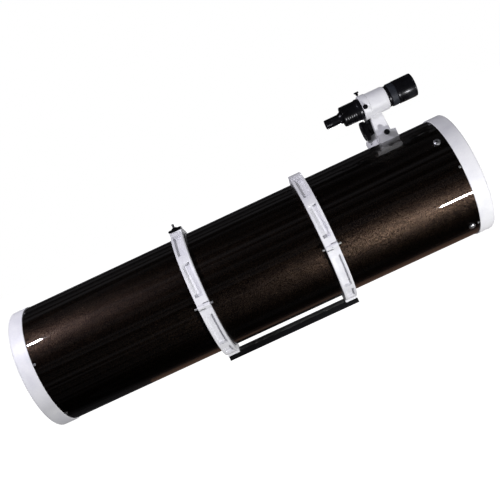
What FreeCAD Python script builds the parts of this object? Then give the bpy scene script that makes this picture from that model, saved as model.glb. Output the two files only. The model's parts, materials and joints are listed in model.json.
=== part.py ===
import FreeCAD
import Part
import math
import os

# Newtonian reflector tube assembly on a dovetail bar, millimetres.
# +X runs along the tube toward the sky, +Z away from the dovetail bar, -Y is the hinge side.
# The origin is the centre of the bar's bottom face. Shapes are drawn about the tube's axis
# and lifted by axis_height when they are saved.

# tube
tube_radius = 145.0
tube_wall = 1.2
tube_middle = -36.0
shell_half = 553.0
end_half = 560.0
end_ring_width = 36.2
end_ring_radius = 147.2
mouth_radius = 139.0
screw_circle_x = 519.5
axis_height = 176.5

# dovetail bar
bar_length = 340.0
bar_height = 13.0
bar_bottom = 44.0
bar_top = 37.6

# tube rings
ring_x = 155.0
ring_width = 29.5
ring_inner = 147.0
ring_outer = 160.0
rim_chamfer = 0.8
pocket_floor = 152.0
rail = 5.5
flat_height = 163.0
foot_height = axis_height - bar_height
flat_half = 27.0
felt_inner = 145.3
half_gap = 0.8
upper_pockets = [(8.3, 38.6), (47.0, 75.5)]
lower_pockets = [(-41.1, -8.3), (-64.6, -47.0)]

# hinge and clamp
hinge_radius = 158.5
hinge_pin = 2.5
knuckle = 5.5
knuckle_gap = 2.0
pin_reach = 22.5
clamp_y = 176.0
lug_height = 14.0
stud_radius = 3.0
running = 0.05

# optics
mirror_radius = 127.0
mirror_back = -561.0
mirror_face = -531.0
mirror_curve = 2400.0
secondary_radius = 29.0
secondary_glass = 17.0
spider_x = 467.0
hub_radius = 22.0

# focuser, heights are above the tube's surface along its own axis
focuser_x = 389.0
focuser_angle = 123.0
body_radius = 35.5
body_rim = 31.5
flange_extra = 7.0
draw_radius = 27.2
draw_bore = 25.45
draw_low = -30.0
draw_top = 66.0
pinion_teeth = 12
pinion_pitch = 6.4
tooth_reach = 1.0
tooth_half = 0.69
tooth_slope = 0.364
rack_half = 4.0
shaft_radius = 3.0
shaft_offset = 38.5
shaft_height = 45.0
# each focus knob's inner face, outer face and radius, the coarse one toward the mirror
focus_knobs = {-1: (23.5, 35.0, 24.5), 1: (13.3, 23.3, 13.0)}

# finder, axis height above the tube's surface
finder_angle = 93.0
finder_height = 92.5
foot_x = 392.7
shoe_length = 44.6
shoe_width = 37.0
shoe_height = 19.0
bracket_low = 362.4
bracket_high = 426.5
bracket_inner = 25.0
neck_radius = 20.0
screw_plane = 367.0
o_ring_x = 421.0


def vec(x, y, z):
    return FreeCAD.Vector(x, y, z)


def rod_x(x0, x1, radius, y=0.0, z=0.0):
    return Part.makeCylinder(radius, x1 - x0, vec(x0, y, z), vec(1, 0, 0))


def rod_y(y0, y1, radius, x=0.0, z=0.0):
    return Part.makeCylinder(radius, y1 - y0, vec(x, y0, z), vec(0, 1, 0))


def rod_z(z0, z1, radius, x=0.0, y=0.0):
    return Part.makeCylinder(radius, z1 - z0, vec(x, y, z0), vec(0, 0, 1))


def block(x0, x1, y0, y1, z0, z1):
    return Part.makeBox(x1 - x0, y1 - y0, z1 - z0, vec(x0, y0, z0))


def sleeve_x(x0, x1, outer, inner, y=0.0, z=0.0):
    return rod_x(x0, x1, outer, y, z).cut(rod_x(x0 - 1, x1 + 1, inner, y, z))


def spun_x(points, z=0.0):
    """Closed outline of (x, radius) points turned about a line along X at height z."""
    wire = Part.makePolygon([vec(x, 0, z + r) for x, r in points + points[:1]])
    return Part.Face(wire).revolve(vec(0, 0, z), vec(1, 0, 0), 360)


def facing(shape, angle):
    """Turns a shape drawn on top of the tube to its angle from the hinge side."""
    copy = shape.copy()
    copy.rotate(vec(0, 0, 0), vec(1, 0, 0), 90.0 - angle)
    return copy


def group(shapes):
    return Part.makeCompound(shapes)


def save(name, shape):
    placed = shape.copy()
    placed.translate(vec(0, 0, axis_height))
    placed.exportStep("parts/" + name + ".step")


def sector(x0, x1, outer, inner, start, stop):
    """Arc-shaped block between two angles from the hinge side, under 120 degrees apart."""
    reach = 2.5 * outer
    corners = [vec(x0, 0, 0)]
    for angle in (start, (start + stop) / 2.0, stop):
        turn = math.radians(angle)
        corners.append(vec(x0, -reach * math.cos(turn), reach * math.sin(turn)))
    wedge = Part.Face(Part.makePolygon(corners + corners[:1])).extrude(vec(x1 - x0, 0, 0))
    return sleeve_x(x0, x1, outer, inner).common(wedge)


# ---- dovetail bar and tube rings


def dovetail_bar():
    low = -axis_height
    points = [
        vec(-bar_length / 2, -bar_bottom / 2, low),
        vec(-bar_length / 2, bar_bottom / 2, low),
        vec(-bar_length / 2, bar_top / 2, low + bar_height),
        vec(-bar_length / 2, -bar_top / 2, low + bar_height),
    ]
    bar = Part.Face(Part.makePolygon(points + points[:1])).extrude(vec(bar_length, 0, 0))
    for x, y in bolt_places():
        bar = bar.cut(rod_z(low - 1, low + 7, 6.0, x, y))
        bar = bar.cut(rod_z(low, low + bar_height + 1, 3.3, x, y))
    return bar


def bolt_places():
    return [(side * ring_x, y) for side in (-1, 1) for y in (-9.0, 9.0)]


def bar_bolt(x, y):
    low = -axis_height
    head = rod_z(low + 1.2, low + 6.9, 5.0, x, y)
    socket = rod_z(low, low + 4.0, 2.4, x, y)
    return head.fuse(rod_z(low + 6, low + bar_height + 9, stud_radius, x, y)).cut(socket)


def ring_half(centre, upper):
    """One half of a cast tube ring with its pockets, flat, knuckle and clamp lug."""
    x0 = centre - ring_width / 2
    x1 = centre + ring_width / 2
    side = 1 if upper else -1
    height = flat_height if upper else foot_height
    rim = ring_outer - rim_chamfer
    outline = [
        (x0, ring_inner),
        (x0, rim),
        (x0 + rim_chamfer, ring_outer),
        (x1 - rim_chamfer, ring_outer),
        (x1, rim),
        (x1, ring_inner),
    ]
    ring = spun_x(outline)
    flat_z = sorted([side * 140.0, side * height])
    ring = ring.fuse(block(x0, x1, -flat_half, flat_half, flat_z[0], flat_z[1]))
    lug_z = sorted([0.0, side * lug_height])
    ring = ring.fuse(block(x0 + 3, x1 - 3, 150.0, clamp_y + 11, lug_z[0], lug_z[1]))
    ring = ring.cut(rod_x(x0 - 1, x1 + 1, ring_inner))
    for start, stop in upper_pockets if upper else lower_pockets:
        pocket = sector(x0 + rail, x1 - rail, ring_outer + 8, pocket_floor, start, stop)
        ring = ring.cut(pocket).cut(pocket.mirror(vec(0, 0, 0), vec(0, 1, 0)))
    keep_z = sorted([side * half_gap, side * 200.0])
    ring = ring.common(block(x0 - 1, x1 + 1, -200, 200, keep_z[0], keep_z[1]))
    own = (x0, centre - 0.2) if upper else (centre + 0.2, x1)
    other = (centre - 0.2, x1 + 1) if upper else (x0 - 1, centre + 0.2)
    ring = ring.cut(rod_x(other[0], other[1], knuckle + knuckle_gap, -hinge_radius))
    ring = ring.fuse(rod_x(own[0], own[1], knuckle, -hinge_radius))
    bore = hinge_pin + (running if upper else 0.02)
    ring = ring.cut(rod_x(x0 - 1, x1 + 1, bore, -hinge_radius))
    hole = stud_radius + (0.08 if upper else 0.8)
    ring = ring.cut(rod_z(-30, 30, hole, centre, clamp_y))
    if upper and centre < 0:
        ring = ring.cut(rod_z(140, 170, 3.2, disc_x)).cut(rod_z(140, 150.1, 6.1, disc_x))
    if not upper:
        for x, y in bolt_places():
            if x * centre > 0:
                ring = ring.cut(rod_z(-axis_height, -foot_height + 10, 3.05, x, y))
    return ring


def felt(centre, upper):
    strip = sleeve_x(centre - 12, centre + 12, ring_inner - 0.05, felt_inner)
    keep_z = (0.6, 200) if upper else (-200, -0.6)
    return strip.common(block(centre - 20, centre + 20, -200, 200, keep_z[0], keep_z[1]))


def clamp_screw(centre):
    low = lug_height + 0.4
    knob = rod_z(low, low + 14, 13.0, centre, clamp_y)
    knob = knob.makeChamfer(1.5, [e for e in knob.Edges if e.BoundBox.ZLength < 0.01])
    grooves = [
        rod_z(low + 3, low + 15, 2.2, centre + 14 * math.cos(a), clamp_y + 14 * math.sin(a))
        for a in [math.radians(45 * i) for i in range(8)]
    ]
    for groove in grooves:
        knob = knob.cut(groove)
    return knob.fuse(rod_z(-12, low + 1, stud_radius, centre, clamp_y))


disc_x = -156.0
disc_low = flat_height + 0.3


def camera_disc():
    disc = rod_z(disc_low, disc_low + 4.6, 17.0, disc_x)
    disc = disc.makeChamfer(0.7, [e for e in disc.Edges if e.BoundBox.ZLength < 0.01])
    disc = disc.fuse(rod_z(disc_low + 4, disc_low + 7.6, 6.6, disc_x))
    return disc.cut(rod_z(disc_low - 1, disc_low + 9, 3.175 + running, disc_x))


def camera_stud():
    """Stud with a thread relief just above the disc's hub, so its free end is 8 mm long."""
    stud = rod_z(148.0, disc_low + 17.0, 3.175, disc_x)
    top = [e for e in stud.Edges if e.BoundBox.ZMin > disc_low + 16]
    stud = stud.makeChamfer(0.6, top).fuse(rod_z(147.3, 150.0, 6.0, disc_x))
    relief = rod_z(disc_low + 7.9, disc_low + 8.4, 5.0, disc_x)
    return stud.cut(relief.cut(rod_z(disc_low, disc_low + 10, 2.7, disc_x)))


# ---- tube, end rings and spider


def at_middle(x):
    return tube_middle + x


def end_screw_angles():
    return [15.0 + 60.0 * i for i in range(6)]


def spider_angles():
    return [-135.0, -45.0, 45.0, 135.0]


def tube_shell():
    shell = sleeve_x(at_middle(-shell_half), at_middle(shell_half), tube_radius, tube_radius - tube_wall)
    shell = shell.cut(facing(rod_z(100, 160, body_radius - 1.0, focuser_x), focuser_angle))
    for angle in spider_angles():
        shell = shell.cut(facing(rod_z(130, 160, 2.6, spider_x), angle))
    for side in (-1, 1):
        for angle in end_screw_angles():
            shell = shell.cut(facing(rod_z(130, 160, 1.7, at_middle(side * screw_circle_x)), angle))
    return shell


def end_ring(side):
    """Cast trim ring: a skirt over the tube's end with a rounded, turned-in lip."""
    inner_edge = end_half - end_ring_width
    outline = [
        (inner_edge, tube_radius + 0.1),
        (inner_edge, end_ring_radius - 0.6),
        (inner_edge + 0.6, end_ring_radius),
        (end_half - 4.0, end_ring_radius),
        (end_half - 1.4, end_ring_radius - 1.2),
        (end_half, end_ring_radius - 4.0),
        (end_half, mouth_radius + 1.0),
        (end_half - 1.0, mouth_radius),
        (shell_half + 0.2, mouth_radius),
        (shell_half + 0.2, tube_radius + 0.1),
    ]
    return spun_x([(at_middle(side * x), r) for x, r in outline])


def end_screw(side, angle):
    x = at_middle(side * screw_circle_x)
    head = rod_z(tube_radius + 0.03, tube_radius + 1.8, 3.0, x)
    head = head.makeFillet(0.9, [e for e in head.Edges if e.BoundBox.ZMin > tube_radius + 1])
    screw = head.fuse(rod_z(tube_radius - 8, tube_radius + 1, 1.5, x))
    return facing(screw.cut(block(x - 2, x + 2, -0.4, 0.4, tube_radius + 1.2, tube_radius + 3)), angle)


def spider_vane(angle):
    strip = block(spider_x - 10, spider_x + 10, -0.5, 0.5, hub_radius - 0.4, 140.0)
    end_block = block(spider_x - 5, spider_x + 5, -4, 4, 133.0, 143.4)
    stud = rod_z(140.0, tube_radius + 5.0, 2.5, spider_x)
    return facing(strip.fuse(end_block).fuse(stud), angle)


def spider_nut(angle):
    nut = rod_z(tube_radius + 0.25, tube_radius + 6.2, 8.0, spider_x)
    nut = nut.makeChamfer(0.8, [e for e in nut.Edges if e.BoundBox.ZMin > tube_radius + 5])
    return facing(nut.cut(rod_z(140, tube_radius + 9, 2.55, spider_x)), angle)


def spider_hub():
    hub = rod_x(spider_x - 12, spider_x + 12, hub_radius)
    hub = hub.makeChamfer(1.0, [e for e in hub.Edges if e.BoundBox.XLength < 0.01])
    hub = hub.cut(rod_x(spider_x - 20, spider_x + 20, 3.1))
    for angle in spider_angles():
        slot = block(spider_x - 10.1, spider_x + 10.1, -0.6, 0.6, hub_radius - 0.5, hub_radius + 2)
        hub = hub.cut(facing(slot, angle))
    for y, z in three_places(14.0, 30.0):
        hub = hub.cut(rod_x(spider_x - 20, spider_x + 20, 2.05, y, z))
    return hub


def three_places(radius, start):
    angles = [math.radians(start + 120 * i) for i in range(3)]
    return [(radius * math.cos(a), radius * math.sin(a)) for a in angles]


holder_back = 440.0


def secondary_screws():
    screws = [rod_x(holder_back + 0.3, spider_x + 14, 2.0, y, z) for y, z in three_places(14.0, 30.0)]
    bolt = rod_x(holder_back + 0.3, spider_x + 14, 3.0).fuse(rod_x(spider_x + 12.1, spider_x + 17, 5.0))
    return group(screws + [bolt])


def diagonal(low, high):
    """Space between two 45 degree planes that cross the tube's axis at low and high."""
    reach = 80.0
    points = [
        vec(low - reach, -reach, -reach),
        vec(low + reach, -reach, reach),
        vec(high + reach, -reach, reach),
        vec(high - reach, -reach, -reach),
    ]
    return Part.Face(Part.makePolygon(points + points[:1])).extrude(vec(0, 2 * reach, 0))


def secondary_mirror():
    glass = rod_x(300, 480, secondary_radius).common(diagonal(focuser_x, focuser_x + secondary_glass))
    return facing(glass, focuser_angle)


def secondary_holder():
    start = focuser_x + secondary_glass + 0.1
    holder = rod_x(300, holder_back, secondary_radius - 3).common(diagonal(start, start + 200))
    return facing(holder, focuser_angle)


# ---- primary mirror and its cell

frame_back = -584.0
frame_front = -578.0
plate_back = -571.0
plate_front = -563.0
knob_circle = 95.0


def primary_mirror():
    blank = rod_x(mirror_back, mirror_face, mirror_radius)
    blank = blank.makeChamfer(1.0, [e for e in blank.Edges if e.BoundBox.XMax > mirror_face - 0.1
                                    and e.BoundBox.XLength < 0.01])
    bowl = Part.makeSphere(mirror_curve, vec(mirror_face - 3.36 + mirror_curve, 0, 0))
    return blank.cut(bowl)


def cell_frame():
    frame = sleeve_x(frame_back, frame_front, 143.3, 122.0)
    frame = frame.fuse(sleeve_x(frame_back, frame_front, 40.0, 20.0))
    for i in range(3):
        angle = 90 + 120 * i
        spoke = block(frame_back, frame_front, -16, 16, 35, 124)
        frame = frame.fuse(facing(spoke, angle))
        frame = frame.cut(facing(rod_x(frame_back - 1, frame_front + 1, 3.6, 0, knob_circle), angle))
        frame = frame.cut(facing(rod_x(frame_back - 1, frame_front + 1, 2.05, 0, knob_circle - 25), angle))
    return frame.removeSplitter()


def cell_plate():
    plate = sleeve_x(plate_back, plate_front, 124.0, 30.0)
    for i in range(3):
        window = sector(plate_back - 1, plate_front + 1, 80.0, 45.0, 10 + 120 * i, 50 + 120 * i)
        plate = plate.cut(window)
        plate = plate.cut(facing(rod_x(plate_back - 1, plate_front + 1, 3.05, 0, knob_circle), 90 + 120 * i))
    return plate


def mirror_pad(i):
    return facing(rod_x(plate_front, mirror_back, 10.0, 0, 70.0), 150 + 120 * i)


def mirror_clip(i):
    post = block(plate_front, mirror_face + 4, -7, 7, mirror_radius + 0.5, mirror_radius + 4)
    foot = block(plate_front, plate_front + 1.9, -7, 7, 112.0, mirror_radius + 4)
    lip = block(mirror_face + 0.3, mirror_face + 4, -7, 7, mirror_radius - 6, mirror_radius + 4)
    return facing(post.fuse(foot).fuse(lip), 30 + 120 * i)


def collimation_bolt(i):
    bolt = rod_x(-592.0, plate_front, 3.0, 0, knob_circle)
    return facing(bolt, 90 + 120 * i)


def collimation_knob(i):
    knob = rod_x(-595.0, frame_back - 0.3, 9.0, 0, knob_circle)
    knob = knob.makeChamfer(1.0, [e for e in knob.Edges if e.BoundBox.XLength < 0.01])
    return facing(knob.cut(rod_x(-600, frame_back, 3.6, 0, knob_circle)), 90 + 120 * i)


def lock_screw(i):
    screw = rod_x(-590, frame_front + 4, 2.0, 0, knob_circle - 25)
    return facing(screw.fuse(rod_x(-594, -589, 6.0, 0, knob_circle - 25)), 90 + 120 * i)


def cell_spring(i):
    return facing(sleeve_x(frame_front + 0.1, plate_back - 1.8, 6.5, 4.5, 0, knob_circle), 90 + 120 * i)


# ---- focuser, drawn on top of the tube and turned to focuser_angle

surface = tube_radius
shaft_y = -shaft_offset
shaft_z = surface + shaft_height
rack_pitch_y = shaft_y + pinion_pitch
tooth_pitch = 2 * math.pi * pinion_pitch / pinion_teeth
lock_z = surface + 20.0
collar_z = surface + 60.0


def focuser_body():
    """Round cast body on a saddle flange, bored for the drawtube and slotted for its rack."""
    body = rod_z(surface - 12, surface + 8, body_radius + flange_extra, focuser_x)
    body = body.fuse(rod_z(surface, surface + body_rim, body_radius, focuser_x))
    body = body.cut(rod_x(focuser_x - 80, focuser_x + 80, tube_radius + 0.1))
    body = body.cut(rod_z(surface - 20, surface + body_rim + 1, draw_radius + 0.08, focuser_x))
    slot = block(focuser_x - rack_half - 0.6, focuser_x + rack_half + 0.6,
                 rack_pitch_y - tooth_reach - 0.7, 0, surface - 20, surface + body_rim + 1)
    body = body.cut(slot)
    for side, (inner, outer, radius) in focus_knobs.items():
        x0, x1 = sorted([focuser_x + side * (inner - 0.6), focuser_x + side * (outer + 15)])
        body = body.cut(rod_x(x0, x1, radius + 0.8, shaft_y, shaft_z))
    for x, y in focuser_screw_places():
        body = body.cut(rod_z(surface - 20, surface + 20, 2.2, x, y))
    return facing(body.cut(rod_y(20, 60, 2.05, focuser_x, lock_z)), focuser_angle)


def focuser_screw_places():
    reach = (body_radius + 3.5) * math.sqrt(0.5)
    return [(focuser_x + a * reach, b * reach) for a in (-1, 1) for b in (-1, 1)]


def focuser_screw(x, y):
    screw = rod_z(surface, surface + 9, 2.0, x, y)
    return facing(screw.fuse(rod_z(surface + 8.1, surface + 10.4, 3.3, x, y)), focuser_angle)


def shaft_housing():
    """Black block on the body's rim that holds the pinion against the rack."""
    house = block(focuser_x - focus_knobs[-1][0] + 0.9, focuser_x + focus_knobs[1][0] - 0.9,
                  shaft_y - 9, -20, surface + body_rim + 0.1, surface + 58)
    edges = [e for e in house.Edges if e.BoundBox.YMax < shaft_y - 8.9 and e.BoundBox.YLength < 0.01]
    house = house.makeFillet(4.0, edges)
    house = house.cut(rod_z(surface, surface + 80, draw_radius + 0.3, focuser_x))
    house = house.cut(block(focuser_x - rack_half - 0.5, focuser_x + rack_half + 0.5,
                            rack_pitch_y - tooth_reach - 0.5, 0, surface, surface + 80))
    cavity = rod_x(focuser_x - rack_half - 1, focuser_x + rack_half + 1,
                   pinion_pitch + tooth_reach + 0.4, shaft_y, shaft_z)
    house = house.cut(cavity)
    bore = rod_x(focuser_x - 30, focuser_x + 30, shaft_radius + running, shaft_y, shaft_z)
    return facing(house.cut(bore), focuser_angle)


def focus_lock_screw():
    screw = rod_y(40, 46, 6.0, focuser_x, lock_z)
    screw = screw.makeChamfer(0.7, [e for e in screw.Edges if e.BoundBox.YLength < 0.01])
    return facing(screw.fuse(rod_y(draw_radius + 0.2, 41, 2.0, focuser_x, lock_z)), focuser_angle)


def drawtube():
    tube = rod_z(surface + draw_low, surface + draw_top, draw_radius, focuser_x)
    tube = tube.cut(rod_z(surface + draw_low - 1, surface + draw_top + 1, draw_bore, focuser_x))
    tube = tube.cut(rod_y(0, 40, 2.05, focuser_x, collar_z))
    flat = block(focuser_x - 5, focuser_x + 5, -40, -26.8, surface + draw_low - 1, surface + 57)
    return facing(tube.cut(flat), focuser_angle)


def trapezoid(root_y, tip_y, middle_z, root_half, tip_half, half_width):
    """Gear tooth across the rack, given at its root and its tip."""
    points = [
        vec(focuser_x - half_width, root_y, middle_z - root_half),
        vec(focuser_x - half_width, root_y, middle_z + root_half),
        vec(focuser_x - half_width, tip_y, middle_z + tip_half),
        vec(focuser_x - half_width, tip_y, middle_z - tip_half),
    ]
    return Part.Face(Part.makePolygon(points + points[:1])).extrude(vec(2 * half_width, 0, 0))


def drawtube_rack():
    """Toothed strip on the drawtube's flat, its gap over the pinion's tooth when racked in."""
    root_y = rack_pitch_y + tooth_reach + 0.3
    tip_y = rack_pitch_y - tooth_reach
    strip = block(focuser_x - rack_half, focuser_x + rack_half, root_y, -26.8, surface + 2, surface + 56)
    for i in range(-13, 3):
        strip = strip.fuse(trapezoid(root_y, tip_y, shaft_z + (i + 0.5) * tooth_pitch,
                                     tooth_half + (tooth_reach + 0.3) * tooth_slope,
                                     tooth_half - tooth_reach * tooth_slope, rack_half))
    return facing(strip.removeSplitter(), focuser_angle)


def focus_shaft():
    """Shaft with its pinion cut in one piece, one tooth toward the rack."""
    x0 = focuser_x - focus_knobs[-1][1] + 1
    x1 = focuser_x + focus_knobs[1][1] - 1
    shaft = rod_x(x0, x1, shaft_radius, shaft_y, shaft_z)
    core = pinion_pitch - tooth_reach - 0.4
    width = rack_half + 0.5
    shaft = shaft.fuse(rod_x(focuser_x - width, focuser_x + width, core, shaft_y, shaft_z))
    for i in range(pinion_teeth):
        tooth = trapezoid(shaft_y + core - 0.5, shaft_y + pinion_pitch + tooth_reach, shaft_z,
                          tooth_half + 0.4, tooth_half - tooth_reach * tooth_slope - 0.03, width)
        tooth.rotate(vec(0, shaft_y, shaft_z), vec(1, 0, 0), 360.0 * i / pinion_teeth)
        shaft = shaft.fuse(tooth)
    return facing(shaft, focuser_angle)


def drawtube_screw():
    screw = rod_y(33, 39, 5.0, focuser_x, collar_z)
    screw = screw.makeChamfer(0.7, [e for e in screw.Edges if e.BoundBox.YLength < 0.01])
    return facing(screw.fuse(rod_y(draw_bore - 0.2, 34, 2.0, focuser_x, collar_z)), focuser_angle)


socket_radius = 15.95
socket_top = 82.0


def eyepiece_adapter():
    low = surface + 42
    adapter = rod_z(low, surface + draw_top + 0.1, draw_bore - 0.3, focuser_x)
    adapter = adapter.fuse(rod_z(surface + draw_top + 0.1, surface + draw_top + 5, draw_radius, focuser_x))
    adapter = adapter.fuse(rod_z(surface + draw_top, surface + socket_top, 22.0, focuser_x))
    adapter = adapter.cut(rod_z(low - 1, surface + socket_top + 1, socket_radius, focuser_x))
    return facing(adapter, focuser_angle)


def focus_wheel(side):
    inner, outer, radius = focus_knobs[side]
    x0, x1 = sorted([focuser_x + side * inner, focuser_x + side * outer])
    knob = rod_x(x0, x1, radius, shaft_y, shaft_z)
    knob = knob.makeChamfer(1.4, [e for e in knob.Edges if e.BoundBox.XLength < 0.01])
    return facing(knob.cut(rod_x(x0 - 1, x1 + 1, shaft_radius + 0.02, shaft_y, shaft_z)), focuser_angle)


# ---- finder, drawn on top of the tube and turned to finder_angle

finder_z = tube_radius + finder_height
lock_axis = surface + 18.6


def on_finder(shape):
    return facing(shape, finder_angle)


def finder_shoe():
    x0 = foot_x - shoe_length / 2
    x1 = foot_x + shoe_length / 2
    shoe = block(x0, x1, -shoe_width / 2, shoe_width / 2, surface - 3, surface + shoe_height)
    shoe = shoe.cut(rod_x(x0 - 1, x1 + 1, tube_radius + 0.1))
    boss = block(foot_x - 9.7, foot_x + 6.3, -shoe_width / 2, -9.6, surface + 12, lock_axis + 6)
    shoe = shoe.fuse(boss.makeFillet(3.0, [e for e in boss.Edges if e.BoundBox.ZMin > lock_axis + 5.9
                                           and e.BoundBox.XLength < 0.01]))
    shoe = shoe.cut(foot_outline(x0 - 1, x1 + 1, 0.3))
    shoe = shoe.cut(rod_y(-30, 0, 2.55, foot_x - 1.7, lock_axis))
    for x in (x0 + 7, x1 - 7):
        shoe = shoe.cut(rod_z(surface - 5, surface + 20, 2.1, x, 0))
        shoe = shoe.cut(rod_z(surface + 3.8, surface + 7, 3.1, x, 0))
    return on_finder(shoe)


def foot_outline(x0, x1, gap):
    """Dovetail foot, wider at its base than at the shoe's mouth."""
    low = surface + 6.0 - gap
    high = surface + shoe_height + gap
    points = [
        vec(x0, -11.5 - gap, low),
        vec(x0, 11.5 + gap, low),
        vec(x0, 8.5 + gap, high),
        vec(x0, -8.5 - gap, high),
    ]
    return Part.Face(Part.makePolygon(points + points[:1])).extrude(vec(x1 - x0, 0, 0))


def shoe_screw(x):
    screw = rod_z(surface + 1, surface + 5.6, 2.0, x).fuse(rod_z(surface + 3.9, surface + 5.6, 3.0, x))
    return on_finder(screw)


def finder_bracket():
    """White bracket: foot, tapered stalk and a ring round the finder."""
    foot = foot_outline(foot_x - 20, foot_x + 20, 0.0)
    points = [
        vec(369.5, 0, surface + shoe_height - 0.5),
        vec(405.5, 0, surface + shoe_height - 0.5),
        vec(401.5, 0, finder_z - 20),
        vec(372.5, 0, finder_z - 20),
    ]
    stalk = Part.Face(Part.makePolygon(points + points[:1])).extrude(vec(0, 16, 0))
    stalk.translate(vec(0, -8, 0))
    stalk = stalk.makeFillet(2.5, [e for e in stalk.Edges if e.BoundBox.ZLength > 20])
    outline = [
        (bracket_low, bracket_inner),
        (bracket_low, 29.0),
        (bracket_low + 1.0, 30.0),
        (bracket_low + 17.0, 30.0),
        (bracket_low + 19.0, 28.2),
        (bracket_high - 5.0, 28.2),
        (bracket_high, 26.4),
        (bracket_high, bracket_inner),
    ]
    bracket = foot.fuse(stalk).fuse(spun_x(outline, finder_z))
    bracket = bracket.cut(rod_x(bracket_low - 1, bracket_high + 1, bracket_inner, 0, finder_z))
    bracket = bracket.cut(rod_y(-40, 0, 2.05, screw_plane, finder_z))
    bracket = bracket.cut(rod_z(finder_z, finder_z + 40, 2.05, screw_plane))
    bracket = bracket.cut(lower_far(rod_z(finder_z, finder_z + 40, 4.05, screw_plane)))
    return on_finder(bracket.removeSplitter())


def lower_far(shape):
    """Turns a shape above the finder's axis to the side opposite both screws."""
    copy = shape.copy()
    copy.rotate(vec(0, 0, finder_z), vec(1, 0, 0), -135)
    return copy


def finder_screw():
    """Thumbscrew above the finder's axis, its tip on the finder's neck."""
    low = finder_z + 36.4
    head = rod_z(low, low + 3.8, 5.8, screw_plane)
    head = head.makeChamfer(0.6, [e for e in head.Edges if e.BoundBox.ZLength < 0.01])
    collar = rod_z(finder_z + 32, low + 1, 3.2, screw_plane)
    return head.fuse(collar).fuse(rod_z(finder_z + neck_radius + 0.1, low, 2.0, screw_plane))


def side_screw():
    screw = finder_screw()
    screw.rotate(vec(0, 0, finder_z), vec(1, 0, 0), 90)
    return on_finder(screw)


def plunger_case():
    case = rod_z(finder_z + 25.6, finder_z + 42, 4.0, screw_plane)
    return on_finder(lower_far(case.cut(rod_z(finder_z + 20, finder_z + 38, 2.45, screw_plane))))


def plunger_pin():
    pin = rod_z(finder_z + neck_radius + 0.1, finder_z + 34, 2.4, screw_plane)
    return on_finder(lower_far(pin))


def finder_body():
    outline = [
        (314.0, 15.2),
        (314.0, 23.4),
        (315.2, 24.6),
        (352.0, 24.6),
        (353.5, 26.0),
        (359.5, 26.0),
        (360.5, 25.0),
        (360.5, neck_radius),
        (428.5, neck_radius),
        (428.5, 25.0),
        (429.0, 25.5),
        (434.3, 25.5),
        (434.3, 24.5),
        (461.0, 24.5),
        (461.0, 22.5),
        (433.0, 22.5),
        (428.0, 18.0),
        (345.0, 18.0),
        (340.0, 15.2),
    ]
    return on_finder(spun_x(outline, finder_z))


def o_ring():
    return on_finder(Part.makeTorus(22.35, 2.2, vec(o_ring_x, 0, finder_z), vec(1, 0, 0)))


def finder_eyepiece():
    outline = [
        (270.8, 8.0),
        (270.8, 10.6),
        (271.6, 11.4),
        (305.0, 11.4),
        (306.0, 12.4),
        (312.0, 15.0),
        (313.9, 15.6),
        (313.9, 15.1),
        (338.0, 15.1),
        (338.0, 13.0),
        (300.0, 9.0),
        (275.4, 9.0),
        (274.4, 8.0),
    ]
    return on_finder(spun_x(outline, finder_z))


def eye_lens():
    return on_finder(rod_x(276.0, 279.5, 8.9, 0, finder_z))


def finder_lock_ring():
    ring = sleeve_x(434.6, 449.5, 27.6, 24.6, 0, finder_z)
    edges = [e for e in ring.Edges if e.BoundBox.XLength < 0.01 and e.BoundBox.ZLength > 54]
    return on_finder(ring.makeChamfer(0.7, edges))


def objective_cell():
    outline = [
        (449.9, 24.6),
        (449.9, 27.2),
        (450.9, 28.2),
        (494.5, 28.4),
        (496.5, 27.4),
        (496.5, 26.0),
        (471.0, 25.6),
        (469.0, 22.5),
        (461.4, 22.5),
        (461.4, 24.6),
    ]
    return on_finder(spun_x(outline, finder_z))


def objective_lens():
    disc = rod_x(471.2, 475.5, 25.2, 0, finder_z)
    return on_finder(disc.makeFillet(1.0, [e for e in disc.Edges if e.BoundBox.XMin > 475]))


def shoe_thumbscrew():
    x = foot_x - 1.7
    z = lock_axis
    head = rod_y(-30, -24, 6.6, x, z)
    head = head.makeChamfer(0.8, [e for e in head.Edges if e.BoundBox.YLength < 0.01])
    return on_finder(head.fuse(rod_y(-25, -9.7, 2.5, x, z)))


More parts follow.
